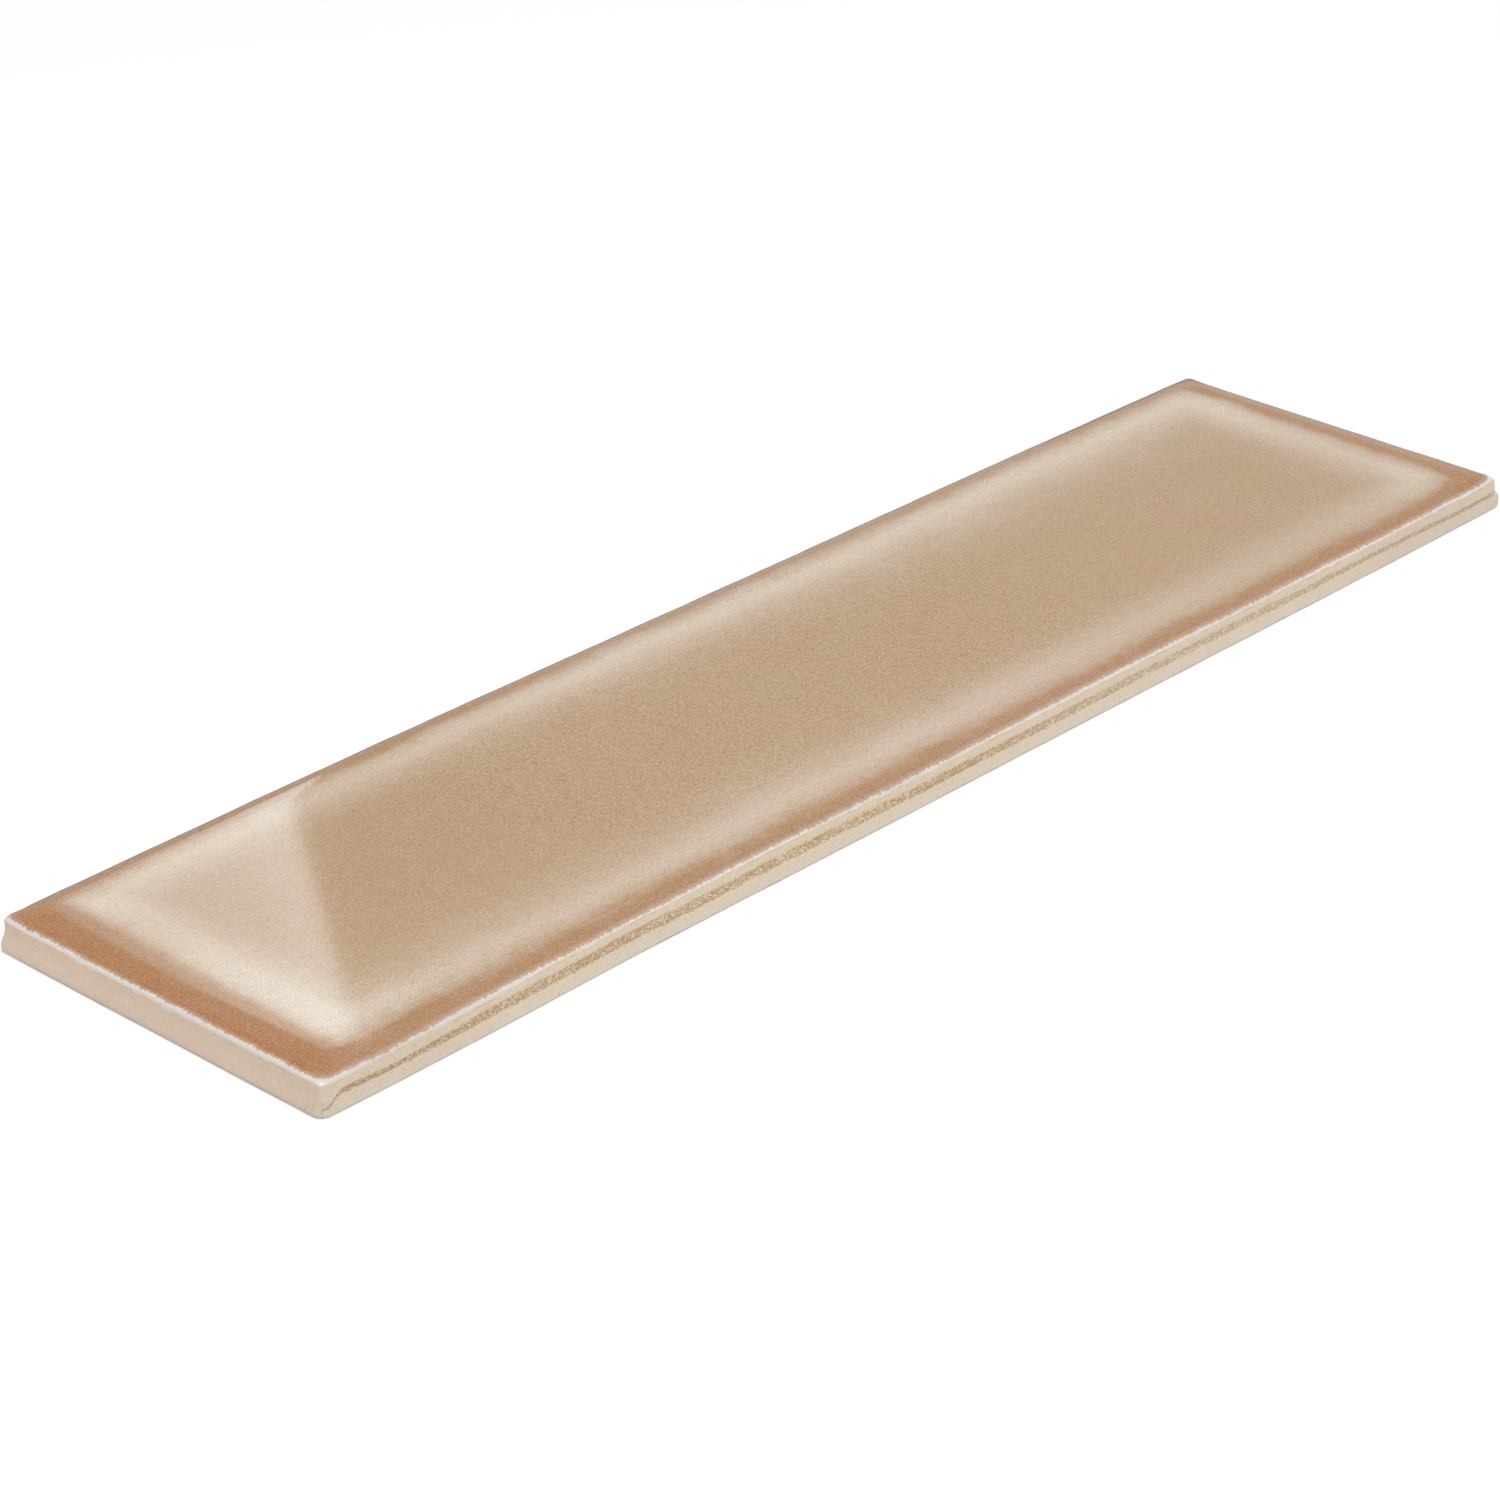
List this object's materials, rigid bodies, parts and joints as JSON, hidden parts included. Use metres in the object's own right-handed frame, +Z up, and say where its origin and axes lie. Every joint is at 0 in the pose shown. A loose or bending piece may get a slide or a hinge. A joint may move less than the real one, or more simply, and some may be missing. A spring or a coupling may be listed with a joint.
{
  "type": "subway wall tile",
  "caption": "Long glazed ceramic wall tile with a cushioned face, a fine rounded arris and a low lip round its unglazed edge.",
  "frame": {"origin": "centre of the flat back, at the tile's lowest level", "axes": "+X along the tile's length, +Y across it, +Z up out of the glazed face"},
  "size_m": [0.3, 0.075, 0.0065],
  "materials": {
    "glazed_body": "gloss reactive glaze in beige and caramel over a matt cream biscuit"
  },
  "bodies": {
    "root": {"wall_tile": "glazed_body"}
  },
  "joints": []
}
